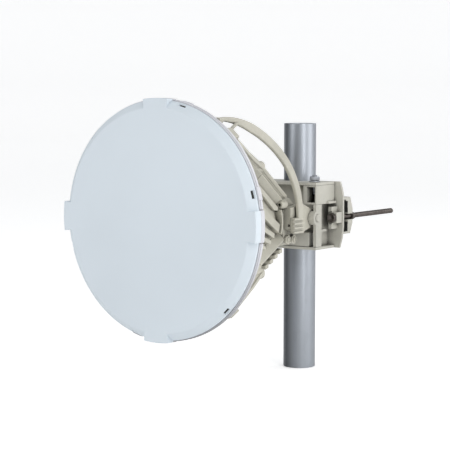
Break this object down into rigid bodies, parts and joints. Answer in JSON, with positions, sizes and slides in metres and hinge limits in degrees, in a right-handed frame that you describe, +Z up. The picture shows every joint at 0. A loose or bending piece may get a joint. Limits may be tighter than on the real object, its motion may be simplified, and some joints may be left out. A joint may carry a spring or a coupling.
{
  "type": "microwave dish antenna",
  "caption": "Small round microwave dish with a flat radome, a finned radio housing behind it on splayed legs, and a tilting pole clamp on a short length of mast.",
  "frame": {"origin": "centre of the pole's bottom end", "axes": "+Z up along the pole, the dish looks along -Y, +X is to the right for a person who faces the dish"},
  "size_m": [0.326, 0.51, 0.408],
  "materials": {
    "radome_plastic": "smooth moulded white plastic with a cool cast",
    "white_painted_rim": "smooth white paint",
    "painted_casting": "light warm grey powder coat on cast aluminium",
    "painted_clamp": "light grey powder coat",
    "zinc_plated_steel": "dull zinc plate, darkened on the threaded rods",
    "galvanised_tube": "weathered galvanised tube",
    "bare_aluminium": "spun aluminium, unpainted"
  },
  "bodies": {
    "pole": {"mast_pole": "galvanised_tube"},
    "clamp": {"clamp_bolt_left": "zinc_plated_steel", "clamp_bolt_right": "zinc_plated_steel", "clamp_bottom_plate": "painted_clamp", "clamp_jaw": "painted_clamp", "clamp_nut_left": "zinc_plated_steel", "clamp_nut_right": "zinc_plated_steel", "clamp_saddle": "painted_clamp", "clamp_shelf": "painted_clamp", "clamp_top_plate": "painted_clamp", "clamp_washer_left": "zinc_plated_steel", "clamp_washer_right": "zinc_plated_steel", "pivot_cheek_left": "painted_clamp", "pivot_cheek_right": "painted_clamp", "pivot_pin_left": "zinc_plated_steel", "pivot_pin_right": "zinc_plated_steel", "side_box_left": "painted_clamp", "side_box_right": "painted_clamp", "top_bolt_left": "zinc_plated_steel", "top_bolt_right": "zinc_plated_steel", "top_washer_left": "zinc_plated_steel", "top_washer_right": "zinc_plated_steel"},
    "antenna": {"arch_rib": "painted_casting", "bottom_fins": "painted_casting", "corner_leg_lower_left": "painted_casting", "corner_leg_lower_right": "painted_casting", "corner_leg_upper_left": "painted_casting", "corner_leg_upper_right": "painted_casting", "corner_ridge_lower_left": "painted_casting", "corner_ridge_lower_right": "painted_casting", "corner_ridge_upper_left": "painted_casting", "corner_ridge_upper_right": "painted_casting", "feed_horn": "bare_aluminium", "hub_block": "painted_casting", "port_cap_1": "painted_casting", "port_cap_2": "painted_casting", "radio_housing": "painted_casting", "radome": "radome_plastic", "reflector": "bare_aluminium", "reflector_rim": "white_painted_rim", "side_fins_left": "painted_casting", "side_fins_right": "painted_casting", "tilt_arm_left": "painted_casting", "tilt_arm_right": "painted_casting", "top_fins": "painted_casting"}
  },
  "joints": [
    {"name": "azimuth", "type": "hinge", "parent": "pole", "child": "clamp", "pos_m": [0, 0, 0.232], "axis": [0, 0, 1], "continuous": true},
    {"name": "elevation", "type": "hinge", "parent": "clamp", "child": "antenna", "pos_m": [0, -0.048, 0.232], "axis": [1, 0, 0], "range_deg": [-20, 20]}
  ]
}
